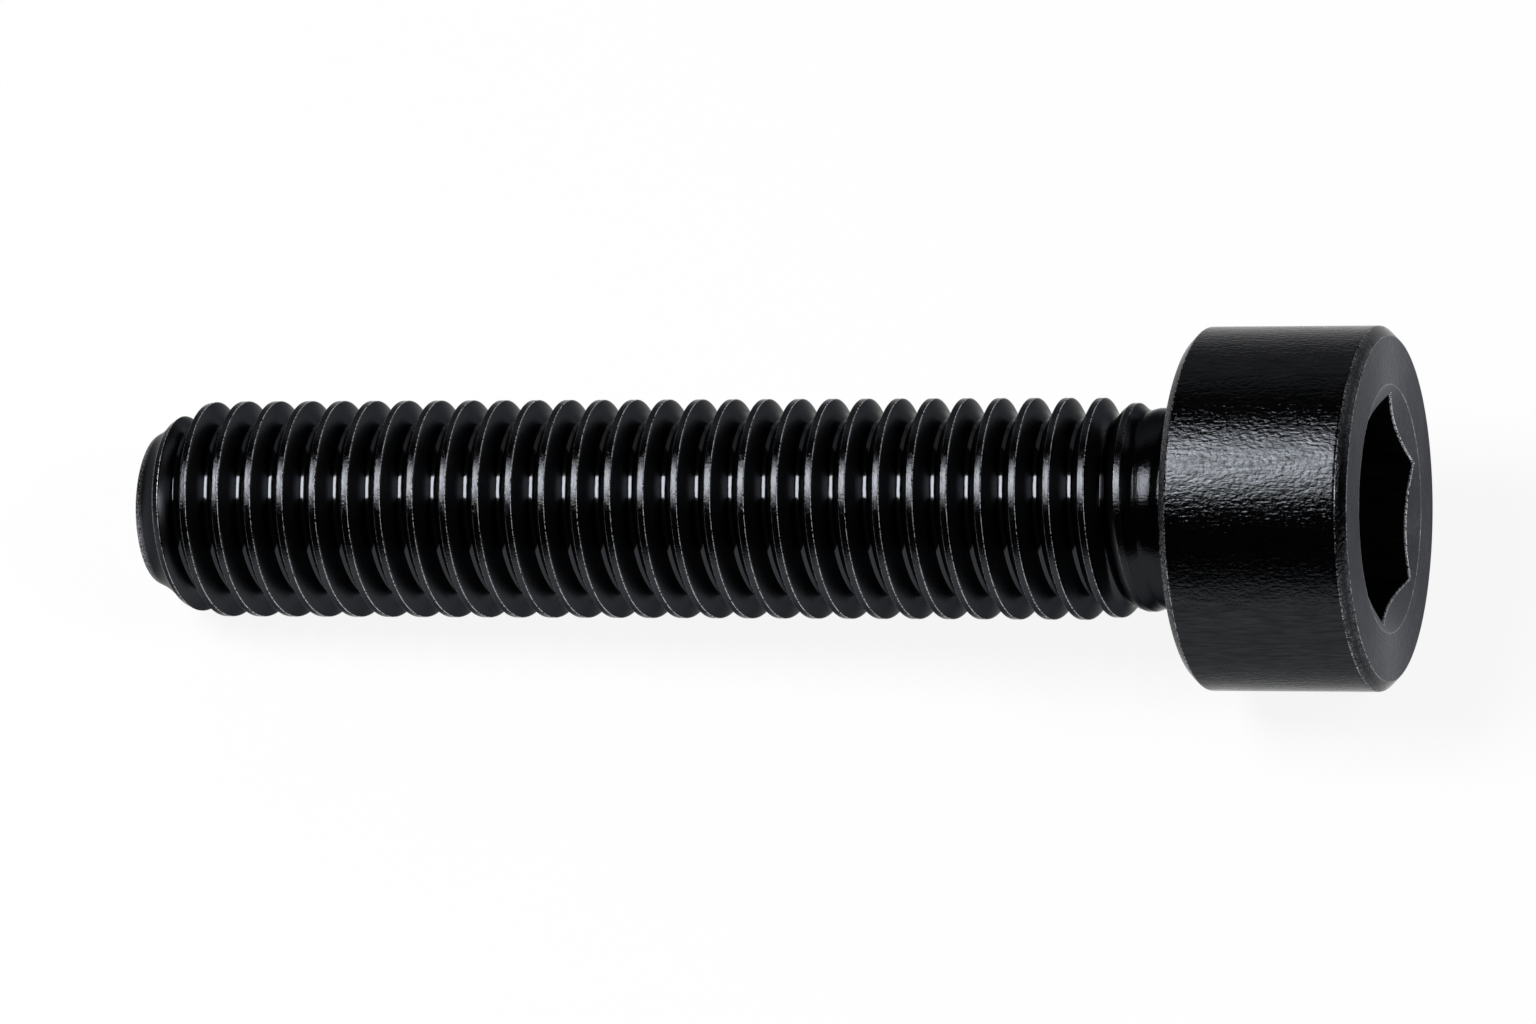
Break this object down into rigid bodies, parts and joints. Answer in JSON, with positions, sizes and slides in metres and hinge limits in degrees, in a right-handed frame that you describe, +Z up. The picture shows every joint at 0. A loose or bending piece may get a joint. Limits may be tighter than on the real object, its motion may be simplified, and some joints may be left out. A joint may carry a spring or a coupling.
{
  "type": "socket head cap screw",
  "caption": "Black steel screw with a plain cylindrical head, a hexagon socket in its face, a short neck and a full right-hand metric thread, for clamping parts together.",
  "frame": {"origin": "centre of the bounding box, on the ground that the screw lies on", "axes": "+X along the length, from the threaded end to the head, +Z up; the screw's own axis rises towards the head, because it lies on the rim of its head and on a crest near its end"},
  "size_m": [0.0466, 0.0128, 0.0132],
  "materials": {
    "black_oxide_steel": "black oxide over steel, lightly oiled, glossy on the thread and satin on the socket face"
  },
  "bodies": {
    "root": {"cap_screw": "black_oxide_steel"}
  },
  "joints": []
}
